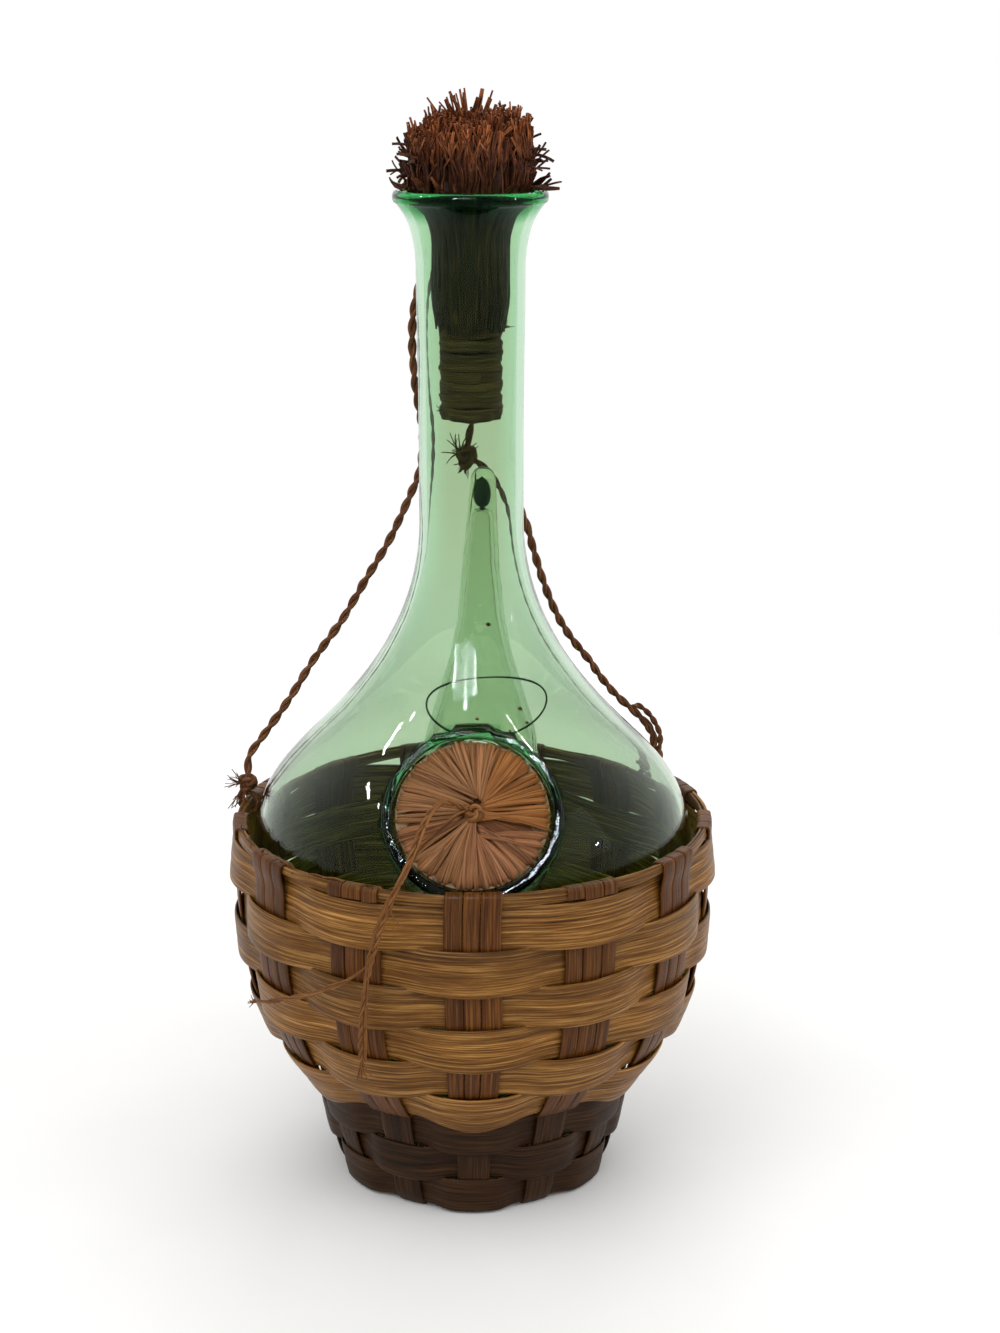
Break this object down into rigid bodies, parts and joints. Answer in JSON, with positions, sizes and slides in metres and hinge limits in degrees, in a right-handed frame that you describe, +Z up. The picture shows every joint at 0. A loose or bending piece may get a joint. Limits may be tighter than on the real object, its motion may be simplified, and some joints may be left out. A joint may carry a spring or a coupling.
{
  "type": "glass wine decanter",
  "caption": "Long-necked glass wine decanter with a blown ice pocket, in a woven splint basket, with a fibre-bound neck stopper, a raffia plug and a cord sling.",
  "frame": {"origin": "centre of the basket foot's rest plane, on the bottle's axis", "axes": "+Z up along the bottle's axis, -Y towards the front, where the ice pocket's mouth faces, +X to the viewer's right"},
  "size_m": [0.168, 0.1694, 0.3614],
  "materials": {
    "glass": "clear pale green blown glass, deeper green at the lip and rims",
    "splint": "brown varnished split-wood stakes, satin",
    "weaver": "brown varnished split-wood weavers, glossy and streaky",
    "foot_splint": "dark brown splints, satin",
    "cork": "matt cork",
    "olive_raffia": "olive-brown raffia, slightly shiny",
    "tuft_fibre": "red-brown cut fibre, matt",
    "raffia": "pinkish-brown raffia, satin",
    "cord": "dark brown two-ply twisted raffia"
  },
  "bodies": {
    "decanter": {"bottle_body": "glass", "bottle_shoulder": "glass", "bottle_neck": "glass", "ice_pocket": "glass", "ice_horn": "glass", "stake_1": "splint", "stake_2": "splint", "stake_3": "splint", "stake_4": "splint", "stake_5": "splint", "stake_6": "splint", "stake_7": "splint", "stake_8": "splint", "stake_9": "splint", "stake_10": "splint", "stake_11": "splint", "stake_12": "splint", "stake_13": "splint", "body_row_1": "weaver", "body_row_2": "weaver", "body_row_3": "weaver", "body_row_4": "weaver", "body_row_5": "weaver", "body_row_6": "weaver", "foot_stake_1": "foot_splint", "foot_stake_2": "foot_splint", "foot_stake_3": "foot_splint", "foot_stake_4": "foot_splint", "foot_stake_5": "foot_splint", "foot_stake_6": "foot_splint", "foot_stake_7": "foot_splint", "foot_stake_8": "foot_splint", "foot_stake_9": "foot_splint", "foot_stake_10": "foot_splint", "foot_stake_11": "foot_splint", "foot_stake_12": "foot_splint", "foot_stake_13": "foot_splint", "foot_row_1": "foot_splint", "foot_row_2": "foot_splint", "foot_row_3": "foot_splint", "rim_reed": "splint", "bottom_splints_across": "splint", "bottom_splints_along": "splint", "rim_tie_left": "cord", "rim_tie_right": "cord", "sling_left": "cord", "sling_right": "cord", "sling_knot": "cord", "sling_end_left": "cord", "sling_end_right": "cord"},
    "neck_stopper": {"stopper_cork": "cork", "stopper_binding": "olive_raffia", "stopper_sheath": "olive_raffia", "stopper_tuft": "tuft_fibre"},
    "ice_plug": {"plug_cork": "cork", "plug_cover": "raffia", "plug_knot": "raffia", "plug_tail": "raffia"}
  },
  "joints": [
    {"name": "stopper_lift", "type": "slide", "parent": "decanter", "child": "neck_stopper", "axis": [0, 0, 1], "range_m": [0, 0.08]},
    {"name": "plug_pull", "type": "slide", "parent": "decanter", "child": "ice_plug", "axis": [0, -0.809, 0.5878], "range_m": [0, 0.03]}
  ]
}
